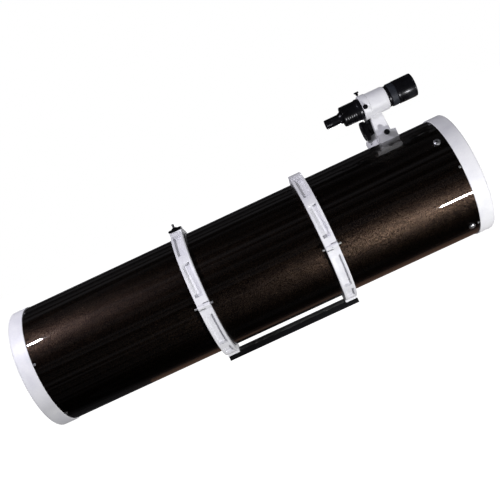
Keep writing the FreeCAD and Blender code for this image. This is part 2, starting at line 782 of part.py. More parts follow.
def main():
    os.makedirs("parts", exist_ok=True)
    save("dovetail_bar", dovetail_bar())
    save("bar_bolts", group([bar_bolt(x, y) for x, y in bolt_places()]))
    for name, centre in (("rear", -ring_x), ("front", ring_x)):
        save(name + "_ring_lower", ring_half(centre, False))
        save(name + "_ring_upper", ring_half(centre, True))
        save(name + "_upper_felt", felt(centre, True))
        save(name + "_clamp_screw", clamp_screw(centre))
    save("lower_felts", group([felt(-ring_x, False), felt(ring_x, False)]))
    pins = [rod_x(x - pin_reach, x + pin_reach, hinge_pin, -hinge_radius) for x in (-ring_x, ring_x)]
    save("hinge_pins", group(pins))
    save("camera_lock_disc", camera_disc())
    save("camera_stud", camera_stud())

    save("tube_shell", tube_shell())
    save("rear_end_ring", end_ring(-1))
    save("front_end_ring", end_ring(1))
    save("end_ring_screws", group([end_screw(s, a) for s in (-1, 1) for a in end_screw_angles()]))
    save("spider_hub", spider_hub())
    save("spider_vanes", group([spider_vane(a) for a in spider_angles()]))
    save("spider_nuts", group([spider_nut(a) for a in spider_angles()]))
    save("secondary_screws", secondary_screws())
    save("secondary_holder", secondary_holder())
    save("secondary_mirror", secondary_mirror())

    save("mirror_cell_frame", cell_frame())
    save("mirror_cell_plate", cell_plate())
    save("primary_mirror", primary_mirror())
    save("mirror_pads", group([mirror_pad(i) for i in range(3)]))
    save("mirror_clips", group([mirror_clip(i) for i in range(3)]))
    save("collimation_bolts", group([collimation_bolt(i) for i in range(3)]))
    save("collimation_springs", group([cell_spring(i) for i in range(3)]))
    save("cell_lock_screws", group([lock_screw(i) for i in range(3)]))
    for i, letter in enumerate("abc"):
        save("collimation_knob_" + letter, collimation_knob(i))

    save("focuser_body", focuser_body())
    base_screws = [focuser_screw(x, y) for x, y in focuser_screw_places()]
    base_screws += [shoe_screw(foot_x - 15.3), shoe_screw(foot_x + 15.3)]
    save("base_screws", group(base_screws))
    save("shaft_housing", shaft_housing())
    save("focus_lock_screw", focus_lock_screw())
    save("drawtube", drawtube())
    save("drawtube_rack", drawtube_rack())
    save("drawtube_screw", drawtube_screw())
    save("eyepiece_adapter", eyepiece_adapter())
    save("focus_shaft", focus_shaft())
    save("focus_knob_rear", focus_wheel(-1))
    save("focus_knob_front", focus_wheel(1))

    save("finder_shoe", finder_shoe())
    save("shoe_thumbscrew", shoe_thumbscrew())
    save("finder_bracket", finder_bracket())
    save("finder_top_screw", on_finder(finder_screw()))
    save("finder_side_screw", side_screw())
    save("finder_plunger_case", plunger_case())
    save("finder_plunger_pin", plunger_pin())
    save("finder_body", finder_body())
    save("finder_o_ring", o_ring())
    save("finder_eyepiece", finder_eyepiece())
    save("finder_eye_lens", eye_lens())
    save("finder_lock_ring", finder_lock_ring())
    save("finder_objective_cell", objective_cell())
    save("finder_objective", objective_lens())


main()
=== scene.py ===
import json
from math import atan2, cos, hypot, pi, radians, sin, tau

import bmesh
import bpy
from mathutils import Matrix, Vector


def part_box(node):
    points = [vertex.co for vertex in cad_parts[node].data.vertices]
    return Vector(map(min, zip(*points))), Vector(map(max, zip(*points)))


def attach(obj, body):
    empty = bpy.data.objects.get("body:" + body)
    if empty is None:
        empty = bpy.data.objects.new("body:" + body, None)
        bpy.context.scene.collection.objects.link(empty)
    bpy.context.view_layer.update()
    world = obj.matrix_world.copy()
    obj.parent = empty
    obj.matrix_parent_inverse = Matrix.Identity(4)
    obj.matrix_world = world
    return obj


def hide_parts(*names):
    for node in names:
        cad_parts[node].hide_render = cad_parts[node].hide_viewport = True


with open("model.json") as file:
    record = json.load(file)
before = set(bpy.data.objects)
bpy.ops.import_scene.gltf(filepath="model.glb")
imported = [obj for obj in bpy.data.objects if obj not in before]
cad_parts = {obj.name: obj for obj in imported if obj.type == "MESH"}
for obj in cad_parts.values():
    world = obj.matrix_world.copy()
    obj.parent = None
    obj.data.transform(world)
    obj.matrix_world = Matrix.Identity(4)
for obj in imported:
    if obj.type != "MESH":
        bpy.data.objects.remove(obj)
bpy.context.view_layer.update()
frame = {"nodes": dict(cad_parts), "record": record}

# A newtonian reflector telescope, metres: +X toward the sky end, +Z away from the dovetail bar,
# -Y the hinge side. Lengths in the dictionaries are millimetres, mm turns them to metres.

mm = 0.001
bodyOf = {node: body for body, nodes in frame["record"]["behaviour"]["bodies"].items() for node in nodes}
slotOf = {name: node.data.materials[0].name for name, node in frame["nodes"].items()}


def span(node, axis=0):
    # where a CAD node starts and ends along an axis, mm
    low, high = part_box(node)
    return round(low[axis] / mm, 2), round(high[axis] / mm, 2)


tubeLow, tubeHigh = span("tube_shell", 2)
axisHeight = (tubeLow + tubeHigh) / 2  # tube axis above the bar's bottom face
tubeRadius = (tubeHigh - tubeLow) / 2


# materials: one function adds a node, one turns a hex colour to linear

def hexColour(code):
    parts = [int(code[i:i + 2], 16) / 255 for i in (1, 3, 5)]
    return [c / 12.92 if c <= 0.04045 else ((c + 0.055) / 1.055) ** 2.4 for c in parts] + [1.0]


def addNode(tree, kind, settings=None, **inputs):
    node = tree.nodes.new(kind)
    for name, value in (settings or {}).items():
        setattr(node, name, value)
    for name, value in inputs.items():
        byPlace = name[:2] == "in" and name[2:].isdigit()
        socket = node.inputs[int(name[2:]) if byPlace else name.replace("_", " ")]
        if isinstance(value, bpy.types.NodeSocket):
            tree.links.new(value, socket)
        else:
            socket.default_value = value
    return node


def emptyMaterial(name):
    material = bpy.data.materials.new(name)
    material.use_nodes = True
    tree = material.node_tree
    tree.nodes.clear()
    shader = addNode(tree, "ShaderNodeBsdfPrincipled")
    output = addNode(tree, "ShaderNodeOutputMaterial")
    tree.links.new(shader.outputs[0], output.inputs[0])
    return material, tree, shader


def colourRamp(tree, factor, stops):
    ramp = addNode(tree, "ShaderNodeValToRGB", Fac=factor)
    elements = ramp.color_ramp.elements
    elements[0].position, elements[0].color = stops[0][0], hexColour(stops[0][1])
    elements[1].position, elements[1].color = stops[-1][0], hexColour(stops[-1][1])
    for place, code in stops[1:-1]:
        elements.new(place).color = hexColour(code)
    return ramp.outputs["Color"]


def remap(tree, value, low, high, fromLow=0.0, fromHigh=1.0):
    node = addNode(tree, "ShaderNodeMapRange", in0=value, in1=fromLow, in2=fromHigh, in3=low, in4=high)
    return node.outputs[0]


# Finishes with a grain. grain and patch are sizes in mm, stretch lengthens the grain along an axis.
finishes = {
    # satin powder coat on a cast part: a soft orange peel, very slightly cooler and warmer patches
    "powderCoatWhite": dict(low="#dcdce2", high="#efeff1", grain=1.1, patch=38, bump=0.05, rough=(0.34, 0.5)),
    # black anodised aluminium, bead blasted: fine pepper with a low grey sheen
    "blastedAnodisedBlack": dict(low="#0c0c0e", high="#1b1b20", grain=0.7, patch=30, bump=0.012,
                                 rough=(0.24, 0.31), metallic=0.55),
    # anodised extrusion: long saw and die lines down the bar
    "extrudedAnodisedBlack": dict(low="#0a0a0c", high="#1a1a1d", grain=0.8, patch=26, bump=0.06,
                                  rough=(0.3, 0.48), metallic=0.55, stretch=(0.03, 1, 1)),
    # matt interior paint: dry, slightly dusty
    "mattInteriorBlack": dict(low="#070707", high="#111112", grain=1.4, patch=22, bump=0.12,
                              rough=(0.82, 0.95)),
    # moulded ABS knob: fine spark-eroded texture
    "mouldedBlackPlastic": dict(low="#100e13", high="#1f1b24", grain=0.9, patch=16, bump=0.07,
                                rough=(0.36, 0.52)),
    # nickel plated screws: bright with hairline wear
    "nickelPlate": dict(low="#b9babd", high="#dcdcde", grain=0.8, patch=9, bump=0.03, rough=(0.3, 0.46),
                        metallic=1.0),
    # blackened steel socket screws
    "oxidisedSteel": dict(low="#1c1c1f", high="#37373c", grain=0.6, patch=6, bump=0.04, rough=(0.3, 0.46),
                          metallic=0.85),
    # turned aluminium castings of the mirror cell
    "millFinishAluminium": dict(low="#8d9094", high="#b8babd", grain=0.9, patch=24, bump=0.04,
                                rough=(0.3, 0.46), metallic=1.0),
    # pressed wool felt
    "woolFelt": dict(low="#0d0d0f", high="#26262a", grain=0.9, patch=5, bump=0.5, rough=(0.92, 1.0)),
    # granulated cork
    "granulatedCork": dict(low="#7a5634", high="#c39a68", grain=1.6, patch=6, bump=0.3, rough=(0.8, 0.95)),
    # nitrile rubber
    "nitrileRubber": dict(low="#0c0c0c", high="#171717", grain=0.7, patch=9, bump=0.05, rough=(0.5, 0.66)),
    # dyed blue-grey knurled ring, drier than the tubes beside it
    "mattAnodisedBlueGrey": dict(low="#1d2027", high="#30343d", grain=0.8, patch=10, bump=0.05,
                                 rough=(0.5, 0.66), metallic=0.3),
    # aluminised mirror face: almost clean, a breath of dust
    "aluminisedGlass": dict(low="#dfe3e6", high="#eef0f2", grain=0.8, patch=40, bump=0.002,
                            rough=(0.02, 0.06), metallic=1.0),
}


def grainyMaterial(name, low, high, grain, patch, bump, rough, metallic=0.0, stretch=(1, 1, 1)):
    material, tree, shader = emptyMaterial(name)
    place = addNode(tree, "ShaderNodeTexCoord").outputs["Object"]
    place = addNode(tree, "ShaderNodeMapping", Vector=place, Scale=stretch).outputs[0]
    fine = addNode(tree, "ShaderNodeTexNoise", Vector=place, Scale=1 / (grain * mm), Detail=3.0,
                   Roughness=0.6)
    broad = addNode(tree, "ShaderNodeTexNoise", Vector=place, Scale=1 / (patch * mm), Detail=4.0,
                    Roughness=0.55)
    mixed = addNode(tree, "ShaderNodeMix", {"data_type": "FLOAT"}, in0=0.5,
                    in2=fine.outputs["Fac"], in3=broad.outputs["Fac"]).outputs[0]
    colour = colourRamp(tree, mixed, [(0.36, low), (0.64, high)])
    roughness = remap(tree, mixed, rough[0], rough[1], 0.35, 0.65)
    relief = addNode(tree, "ShaderNodeBump", Strength=0.6, Distance=bump * mm, Height=fine.outputs["Fac"])
    tree.links.new(colour, shader.inputs["Base Color"])
    tree.links.new(roughness, shader.inputs["Roughness"])
    tree.links.new(relief.outputs[0], shader.inputs["Normal"])
    shader.inputs["Metallic"].default_value = metallic
    return material


# Baked enamel on the tube: clear gloss over black with gold-bronze mica. The real flake is 0.1 mm,
# drawn at 0.6 mm so that it shows.
enamel = dict(flake=0.6, ground="#060404", gold="#6b5848", bronze="#463831", share=0.5, tilt=0.2,
              rough=0.37, coatRough=0.025)


def enamelMaterial():
    material, tree, shader = emptyMaterial("bakedEnamelWithMica")
    place = addNode(tree, "ShaderNodeTexCoord").outputs["Object"]
    cells = addNode(tree, "ShaderNodeTexVoronoi", Vector=place, Scale=1 / (enamel["flake"] * mm),
                    Randomness=1.0)
    chance = addNode(tree, "ShaderNodeSeparateColor", in0=cells.outputs["Color"])
    clouds = addNode(tree, "ShaderNodeTexNoise", Vector=place, Scale=1 / (30 * mm), Detail=3.0)
    shown = remap(tree, chance.outputs[0], 0.0, 1.0, 1 - enamel["share"], 1.0)
    shown = addNode(tree, "ShaderNodeMath", {"operation": "MULTIPLY"}, in0=shown,
                    in1=remap(tree, clouds.outputs["Fac"], 0.48, 0.62, 0.35, 0.65)).outputs[0]
    mica = addNode(tree, "ShaderNodeMix", {"data_type": "RGBA"}, in0=chance.outputs[1],
                   in6=hexColour(enamel["gold"]), in7=hexColour(enamel["bronze"])).outputs[2]
    colour = addNode(tree, "ShaderNodeMix", {"data_type": "RGBA"}, in0=shown, in6=hexColour(enamel["ground"]),
                     in7=mica).outputs[2]
    tilt = addNode(tree, "ShaderNodeVectorMath", {"operation": "SUBTRACT"}, in0=cells.outputs["Color"],
                   in1=(0.5, 0.5, 0.5))
    tilt = addNode(tree, "ShaderNodeVectorMath", {"operation": "SCALE"}, in0=tilt.outputs[0],
                   Scale=enamel["tilt"])
    normal = addNode(tree, "ShaderNodeNewGeometry").outputs["Normal"]
    tilted = addNode(tree, "ShaderNodeVectorMath", {"operation": "ADD"}, in0=normal, in1=tilt.outputs[0])
    tilted = addNode(tree, "ShaderNodeVectorMath", {"operation": "NORMALIZE"}, in0=tilted.outputs[0])
    tree.links.new(colour, shader.inputs["Base Color"])
    tree.links.new(tilted.outputs[0], shader.inputs["Normal"])
    shader.inputs["Metallic"].default_value = 1.0
    shader.inputs["Roughness"].default_value = enamel["rough"]
    shader.inputs["Coat Weight"].default_value = 1.0
    shader.inputs["Coat Roughness"].default_value = enamel["coatRough"]
    return material


# Coated achromat: clear crown glass with a faint green-blue coating and a few dust specks
def lensMaterial():
    material, tree, shader = emptyMaterial("coatedCrownGlass")
    place = addNode(tree, "ShaderNodeTexCoord").outputs["Object"]
    dust = addNode(tree, "ShaderNodeTexNoise", Vector=place, Scale=1 / (1.5 * mm), Detail=4.0)
    tree.links.new(colourRamp(tree, dust.outputs["Fac"], [(0.4, "#b9d2cc"), (0.62, "#cfdcec")]),
                   shader.inputs["Base Color"])
    tree.links.new(remap(tree, dust.outputs["Fac"], 0.01, 0.06, 0.5, 0.7), shader.inputs["Roughness"])
    shader.inputs["IOR"].default_value = 1.52
    shader.inputs["Transmission Weight"].default_value = 0.85
    return material


materials = {name: grainyMaterial(name, **values) for name, values in finishes.items()}
materials["bakedEnamelWithMica"] = enamelMaterial()
materials["coatedCrownGlass"] = lensMaterial()
finishOf = {
    "gloss_black_tube": "bakedEnamelWithMica",
    "white_casting": "powderCoatWhite",
    "black_anodised": "blastedAnodisedBlack",
    "black_bar": "extrudedAnodisedBlack",
    "flat_black": "mattInteriorBlack",
    "black_plastic": "mouldedBlackPlastic",
    "bright_steel": "nickelPlate",
    "dark_steel": "oxidisedSteel",
    "brushed_alloy": "millFinishAluminium",
    "felt": "woolFelt",
    "cork": "granulatedCork",
    "rubber": "nitrileRubber",
    "mirror_coating": "aluminisedGlass",
    "lens_glass": "coatedCrownGlass",
}
for nodeName, node in frame["nodes"].items():
    node.data.materials.clear()
    node.data.materials.append(materials[finishOf[slotOf[nodeName]]])
print("materials:", len(materials))


# mesh tools: outlines are (along, radius) points turned about the X axis

def lift(angle=90.0, along=0.0, radius=0.0):
    # drawn on top of the tube at that distance, then turned to its angle from the hinge side
    return (Matrix.Translation((0, 0, axisHeight * mm)) @ Matrix.Rotation(radians(90 - angle), 4, "X")
            @ Matrix.Translation((along * mm, 0, radius * mm)))


upright = Matrix.Rotation(radians(-90), 4, "Y")  # an outline's length points along Z
toHinge = Matrix.Rotation(radians(-90), 4, "Z")  # ... along -Y
toClamp = Matrix.Rotation(radians(90), 4, "Z")  # ... along +Y


def turned(outline, steps=128, ease=0.25):
    bm = bmesh.new()
    points = [bm.verts.new((x * mm, 0, r * mm)) for x, r in outline]
    pairs = list(zip(points, points[1:]))
    if outline[0][1] > 0:
        pairs.append((points[-1], points[0]))
    edges = [bm.edges.new(pair) for pair in pairs]
    bmesh.ops.spin(bm, geom=points + edges, cent=(0, 0, 0), axis=(1, 0, 0), dvec=(0, 0, 0), angle=tau,
                   steps=steps, use_merge=True)
    bmesh.ops.remove_doubles(bm, verts=bm.verts, dist=1e-6)
    bmesh.ops.recalc_face_normals(bm, faces=bm.faces)
    easeEdges(bm, ease)
    return bm


def easeEdges(bm, width, angle=28):
    if width > 0:
        sharp = [e for e in bm.edges if e.is_manifold and e.calc_face_angle() > radians(angle)]
        bmesh.ops.bevel(bm, geom=sharp, offset=width * mm, affect="EDGES", segments=2, profile=0.5,
                        material=-1, clamp_overlap=True)


def knurl(bm, low, high, radius, steps, depth, gap=0.15):
    # every second strip of the band between low and high is pressed in
    chosen = []
    for face in bm.faces:
        middle = face.calc_center_median()
        around = int((atan2(middle.y, middle.z) % tau) / (tau / steps))
        onBand = low * mm < middle.x < high * mm and abs(hypot(middle.y, middle.z) - radius * mm) < 0.5 * mm
        if onBand and around % 2 == 0 and abs(face.normal.x) < 0.2:
            chosen.append(face)
    bmesh.ops.inset_individual(bm, faces=chosen, thickness=gap * mm, depth=-depth * mm)


def finishPiece(bm, name, nodes, place=Matrix.Identity(4), finish=None):
    bmesh.ops.transform(bm, matrix=place, verts=bm.verts)
    mesh = bpy.data.meshes.new(name)
    bm.to_mesh(mesh)
    bm.free()
    mesh.shade_smooth()
    mesh.set_sharp_from_angle(angle=radians(30))
    mesh.materials.append(materials[finish or finishOf[slotOf[nodes[0]]]])
    piece = bpy.data.objects.new(name, mesh)
    bpy.context.scene.collection.objects.link(piece)
    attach(piece, bodyOf[nodes[0]])
    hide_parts(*nodes)
    return piece


def ribbed(outline, low, high, radius, pitch, width, depth):
    # adds square grooves to an outline between low and high
    count = int((high - low) / pitch)
    for i in range(count):
        at = low + (i + 0.5) * pitch
        outline += [(at - width / 2, radius), (at - width / 2 + 0.15, radius - depth),
                    (at + width / 2 - 0.15, radius - depth), (at + width / 2, radius)]
    return outline


# tube and end rings
focuserAt = sum(span("drawtube_rack")) / 2
focuserAngle = 123.0


def onFocuser(height=0.0):
    return lift(focuserAngle, focuserAt, height)


tubeShell = dict(wall=1.2, steps=288, holeRadius=34.5)
endRing = dict(outer=147.2, mouth=139.0, shell=553.2, lip=4.2, steps=256)


def buildTube():
    t = tubeShell
    back, front = span("tube_shell")
    inner = tubeRadius - t["wall"]
    # two more loops keep the focuser's hole away from the long faces
    bm = turned([(back, inner), (back, tubeRadius), (focuserAt - 49, tubeRadius),
                 (focuserAt + 49, tubeRadius), (front, tubeRadius), (front, inner)], t["steps"], 0)
    tube = finishPiece(bm, "enamelledTube", ["tube_shell"], lift())
    tube.data.materials.append(materials["mattInteriorBlack"])
    middle = Vector((0, 0, axisHeight * mm))
    for face in tube.data.polygons:
        out = face.center - middle
        if hypot(out.y, out.z) < (tubeRadius - 0.4) * mm:
            face.material_index = 1
    drill = bmesh.new()
    bmesh.ops.create_cone(drill, cap_ends=True, segments=96, radius1=t["holeRadius"] * mm,
                          radius2=t["holeRadius"] * mm, depth=60 * mm)
    bmesh.ops.transform(drill, matrix=onFocuser(tubeRadius), verts=drill.verts)
    cutterMesh = bpy.data.meshes.new("focuserHole")
    drill.to_mesh(cutterMesh)
    drill.free()
    cutter = bpy.data.objects.new("focuserHole", cutterMesh)
    bpy.context.scene.collection.objects.link(cutter)
    cut = tube.modifiers.new("focuserHole", "BOOLEAN")
    cut.object = cutter
    cut.solver = "EXACT"
    bpy.context.view_layer.update()
    graph = bpy.context.evaluated_depsgraph_get()
    opened = bpy.data.meshes.new_from_object(tube.evaluated_get(graph))
    tube.modifiers.clear()
    tube.data = opened
    bpy.data.objects.remove(cutter)


def buildEndRing(name, node, side):
    e = endRing
    back, front = span("rear_end_ring")[0], span("front_end_ring")[1]
    middle = (back + front) / 2
    half = (front - back) / 2
    inner = span("front_end_ring")[0] - middle
    outline = [(inner, tubeRadius + 0.1), (inner, e["outer"] - 0.7), (inner + 0.7, e["outer"])]
    for i in range(7):  # rounded outer lip
        turn = i / 6 * pi / 2
        outline.append((half - e["lip"] * (1 - sin(turn)), e["outer"] - e["lip"] * (1 - cos(turn))))
    outline += [(half, e["mouth"] + 0.9), (half - 0.9, e["mouth"]), (e["shell"], e["mouth"]),
                (e["shell"], tubeRadius + 0.1)]
    bm = turned([(middle + side * x, r) for x, r in outline], e["steps"], 0)
    finishPiece(bm, name, [node], lift())


buildTube()
buildEndRing("rearEndRing", "rear_end_ring", -1)
buildEndRing("frontEndRing", "front_end_ring", 1)
print("tube and end rings")


# castings: a merged copy of the CAD part with its edges eased, as a mould leaves them
castings = {
    "rear_ring_upper": 0.7, "rear_ring_lower": 0.7, "front_ring_upper": 0.7, "front_ring_lower": 0.7,
    "focuser_body": 0.6, "finder_shoe": 0.5, "finder_bracket": 0.5, "dovetail_bar": 0.5, "shaft_housing": 0.5,
    "mirror_cell_frame": 0.5, "mirror_cell_plate": 0.5, "spider_hub": 0.3, "mirror_clips": 0.4,
    "rear_clamp_screw": 0.4, "front_clamp_screw": 0.4,
}


def easedCasting(node, width):
    bm = bmesh.new()
    bm.from_mesh(frame["nodes"][node].data)
    bmesh.ops.remove_doubles(bm, verts=bm.verts, dist=2e-6)
    bmesh.ops.dissolve_limit(bm, angle_limit=radians(0.6), use_dissolve_boundaries=False, verts=bm.verts,
                             edges=bm.edges)
    words = node.split("_")
    piece = finishPiece(bm, words[0] + "".join(w.capitalize() for w in words[1:]), [node])
    edge = piece.modifiers.new("easedEdges", "BEVEL")
    edge.width = width * mm
    edge.segments = 2
    edge.limit_method = "ANGLE"
    edge.angle_limit = radians(32)
    edge.harden_normals = True
    return piece


for nodeName, width in castings.items():
    easedCasting(nodeName, width)
print("castings")


# finder: body, eyepiece, lock ring and objective cell, turned about its own axis
finderAngle = 93.0
finderHeight = 237.5  # finder axis above the tube's axis
finderBody = dict(rear=span("finder_body")[0], rearRadius=24.6, groovePitch=5.2, grooveWidth=1.5,
                  grooveDepth=1.1)
lockRing = dict(outer=27.6, inner=24.6, teeth=48, depth=0.5)
eyepieceShell = dict(rear=span("finder_eyepiece")[0], radius=11.4)
shadeBaffles = dict(count=9, pitch=2.4, first=493.5)


def onFinder(along=0.0):
    return lift(finderAngle, along, finderHeight)


def buildFinder():
    f = finderBody
    outline = ribbed([(f["rear"], 15.2), (f["rear"], 23.4), (315.2, f["rearRadius"])], 317.0, 350.0,
                     f["rearRadius"], f["groovePitch"], f["grooveWidth"], f["grooveDepth"])
    outline += [(352.0, 24.6), (353.5, 26.0), (359.5, 26.0), (360.5, 25.0), (360.5, 20.0), (428.5, 20.0),
                (428.5, 25.0), (429.0, 25.5), (434.3, 25.5), (434.3, 24.5), (461.0, 24.5), (461.0, 22.5),
                (433.0, 22.5), (428.0, 18.0), (345.0, 18.0), (340.0, 15.2)]
    finishPiece(turned(outline, 128, 0.15), "finderTube", ["finder_body"], onFinder())
    e = eyepieceShell
    outline = ribbed([(e["rear"], 8.0), (e["rear"], 10.6), (271.6, e["radius"])], 273.0, 288.0, e["radius"],
                     3.0, 0.9, 0.5)
    outline += [(305.0, 11.4), (306.0, 12.4), (312.0, 15.0), (313.9, 15.6), (313.9, 15.1), (338.0, 15.1),
                (338.0, 13.0), (300.0, 9.0), (275.4, 9.0), (274.4, 8.0)]
    finishPiece(turned(outline, 96, 0.12), "finderEyepiece", ["finder_eyepiece"], onFinder())
    r = lockRing
    rear, front = span("finder_lock_ring")
    steps = 2 * r["teeth"]
    bm = turned([(rear, r["inner"]), (rear, r["outer"] - 0.5), (rear + 0.5, r["outer"]),
                 (rear + 1.6, r["outer"]), (front - 1.6, r["outer"]), (front - 0.5, r["outer"]),
                 (front, r["outer"] - 0.5), (front, r["inner"])], steps, 0)
    knurl(bm, rear + 1.6, front - 1.6, r["outer"], steps, r["depth"])
    finishPiece(bm, "finderLockRing", ["finder_lock_ring"], onFinder(), "mattAnodisedBlueGrey")
    rear, front = span("finder_objective_cell")
    outline = [(rear, 24.6), (rear, 27.2), (450.9, 28.2), (455.4, 28.2), (455.6, 27.7), (456.6, 27.7),
               (456.8, 28.2), (492.0, 28.4), (492.2, 28.0), (493.0, 28.0), (493.2, 28.4), (494.5, 28.4),
               (front - 0.6, 28.0), (front, 27.2), (front, 26.2), (front - 0.2, 26.0)]
    for i in range(shadeBaffles["count"]):  # light baffles inside the shade
        at = shadeBaffles["first"] - shadeBaffles["pitch"] * i
        outline += [(at, 26.0), (at - 0.3, 25.75), (at - 1.9, 25.75), (at - 2.2, 26.0)]
    outline += [(471.0, 25.6), (469.0, 22.5), (461.4, 22.5), (461.4, 24.6)]
    finishPiece(turned(outline, 160, 0.1), "finderObjectiveCell", ["finder_objective_cell"], onFinder())


buildFinder()
print("finder")


# knurled screws and knobs: head from low to high with its radius, then a collar and shank
def thumbScrew(name, node, place, tip, low, high, radius, shank=2.0, collar=None, teeth=24, depth=0.35):
    outline = [(tip, 0.0), (tip, shank - 0.4), (tip + 0.5, shank)]
    at = tip + 1.2
    end = collar[0] if collar else low
    while at + 0.9 < end - 0.4:  # thread ridges
        outline += [(at, shank), (at + 0.35, shank - 0.3), (at + 0.7, shank)]
        at += 0.9
    if collar:
        outline += [(collar[0], shank), (collar[0], collar[1] - 0.3), (collar[0] + 0.3, collar[1]),
                    (low, collar[1])]
    else:
        outline += [(low, shank)]
    outline += [(low, radius - 0.6), (low + 0.6, radius), (high - 0.6, radius), (high, radius - 0.6),
                (high, radius * 0.55), (high - 0.5, radius * 0.45), (high - 0.5, 0.0)]
    steps = 2 * teeth
    bm = turned(outline, steps, 0)
    knurl(bm, low + 0.6, high - 0.6, radius, steps, depth, 0.08)
    return finishPiece(bm, name, [node], place)


cameraDisc = dict(thick=4.6, radius=17.0, hub=6.6, bore=3.225, teeth=60, depth=0.6)


def buildCameraDisc():
    d = cameraDisc
    place = lift(90, sum(span("camera_lock_disc")) / 2) @ upright
    low = span("camera_lock_disc", 2)[0] - axisHeight
    steps = 2 * d["teeth"]
    bm = turned([(low, d["bore"]), (low, d["radius"] - 0.7), (low + 0.7, d["radius"]),
                 (low + d["thick"] - 0.7, d["radius"]), (low + d["thick"], d["radius"] - 0.7),
                 (low + d["thick"], 14.2), (low + d["thick"] - 0.5, 13.6), (low + d["thick"] - 0.5, 9.4),
                 (low + d["thick"], 8.8), (low + d["thick"], d["hub"]), (low + 7.1, d["hub"]),
                 (low + 7.6, d["hub"] - 0.5), (low + 7.6, d["bore"])], steps, 0)
    knurl(bm, low + 0.7, low + d["thick"] - 0.7, d["radius"], steps, d["depth"], 0.12)
    finishPiece(bm, "cameraLockDisc", ["camera_lock_disc"], place)
    outline = [(147.3, 0.0), (147.3, 5.8), (147.5, 6.0), (149.8, 6.0), (150.0, 5.8), (150.0, 3.175)]
    stop, at = low + 16.4, 151.0
    while at + 1.27 < stop:  # quarter inch camera thread, 1.27 mm pitch
        if not low + 6.4 < at < low + 8.4:
            outline += [(at, 3.175), (at + 0.5, 2.72), (at + 0.65, 2.72), (at + 1.15, 3.175)]
        else:
            outline += [(at, 2.7), (at + 1.15, 2.7)]
        at += 1.27
    outline += [(stop, 3.1), (low + 17.0, 2.5), (low + 17.0, 0.0)]
    finishPiece(turned(outline, 48, 0), "cameraStud", ["camera_stud"], place)


buildCameraDisc()
finderScrew = dict(tip=20.1, low=36.4, high=40.2, radius=5.8, collar=(32.0, 3.2))
screwPlane = onFinder(sum(span("finder_top_screw")) / 2)
thumbScrew("finderTopScrew", "finder_top_screw", screwPlane @ upright, **finderScrew)
thumbScrew("finderSideScrew", "finder_side_screw",
           screwPlane @ Matrix.Rotation(radians(90), 4, "X") @ upright, **finderScrew)
shoeScrewAt = sum(span("shoe_thumbscrew")) / 2
thumbScrew("shoeThumbscrew", "shoe_thumbscrew", lift(finderAngle, shoeScrewAt, 163.6) @ toHinge,
           9.7, 24.0, 30.0, 6.6, 2.5, teeth=28)
thumbScrew("focusLockScrew", "focus_lock_screw", onFocuser(165.0) @ toClamp, 27.4, 40.0, 46.0, 6.0)
thumbScrew("drawtubeScrew", "drawtube_screw", onFocuser(205.0) @ toClamp, 25.3, 33.0, 39.0, 5.0)


# focus wheels: rubber-like ribbed rim and a dished face
coarseWheel = dict(side=-1, inner=23.5, outer=35.0, radius=24.5, bore=3.02, ribs=45, depth=0.9)
fineWheel = dict(side=1, inner=13.3, outer=23.3, radius=13.0, bore=3.02, ribs=30, depth=0.6)
focusShaft = dict(y=-38.5, z=190.0)


def buildFocusWheel(name, node, w):
    inner, outer, radius = w["inner"], w["outer"], w["radius"]
    steps = 2 * w["ribs"]
    outline = [(inner, w["bore"]), (inner, radius - 1.4), (inner + 0.5, radius - 0.5), (inner + 1.4, radius),
               (outer - 1.4, radius), (outer - 0.5, radius - 0.5), (outer, radius - 1.4),
               (outer, radius * 0.84), (outer - 1.4, radius * 0.79), (outer - 1.8, radius * 0.42),
               (outer - 0.6, radius * 0.36),
               (outer, radius * 0.33), (outer, w["bore"])]
    bm = turned([(w["side"] * x, r) for x, r in outline], steps, 0)
    low, high = sorted([w["side"] * (inner + 1.4), w["side"] * (outer - 1.4)])
    knurl(bm, low, high, radius, steps, w["depth"], 0.2)
    shaft = Matrix.Translation((0, focusShaft["y"] * mm, focusShaft["z"] * mm))
    finishPiece(bm, name, [node], onFocuser() @ shaft)


buildFocusWheel("coarseFocusWheel", "focus_knob_rear", coarseWheel)
buildFocusWheel("fineFocusWheel", "focus_knob_front", fineWheel)


# eyepiece holder at the drawtube's end
adapter = dict(low=187.0, flange=211.1, top=227.0, bore=15.95)


def buildAdapter():
    a = adapter
    outline = [(a["low"], a["bore"]), (a["low"], 25.15), (a["flange"], 25.15), (a["flange"], 26.8),
               (a["flange"] + 0.4, 27.2), (215.6, 27.2), (216.0, 26.8), (216.0, 22.0), (219.0, 22.0),
               (219.3, 21.4), (221.5, 21.4), (221.8, 22.0), (a["top"] - 0.6, 22.0), (a["top"], 21.4),
               (a["top"], a["bore"] + 0.8), (a["top"] - 0.8, a["bore"])]
    bm = turned(outline, 120, 0)
    knurl(bm, a["flange"] + 0.4, 215.6, 27.2, 120, 0.4, 0.12)
    finishPiece(bm, "eyepieceHolder", ["eyepiece_adapter"], onFocuser() @ upright)


buildAdapter()


# spider nuts, collimation knobs and springs come in sets
spiderNut = dict(low=145.25, high=151.2, radius=8.0, bore=2.55, teeth=20)
cellKnob = dict(radius=9.0, bore=3.6, teeth=18, circle=95.0)
cellSpring = dict(radius=5.5, wire=0.5, turns=3)


def joinMeshes(parts):
    whole = bmesh.new()
    for part, place in parts:
        bmesh.ops.transform(part, matrix=place, verts=part.verts)
        mesh = bpy.data.meshes.new("part")
        part.to_mesh(mesh)
        part.free()
        whole.from_mesh(mesh)
        bpy.data.meshes.remove(mesh)
    return whole


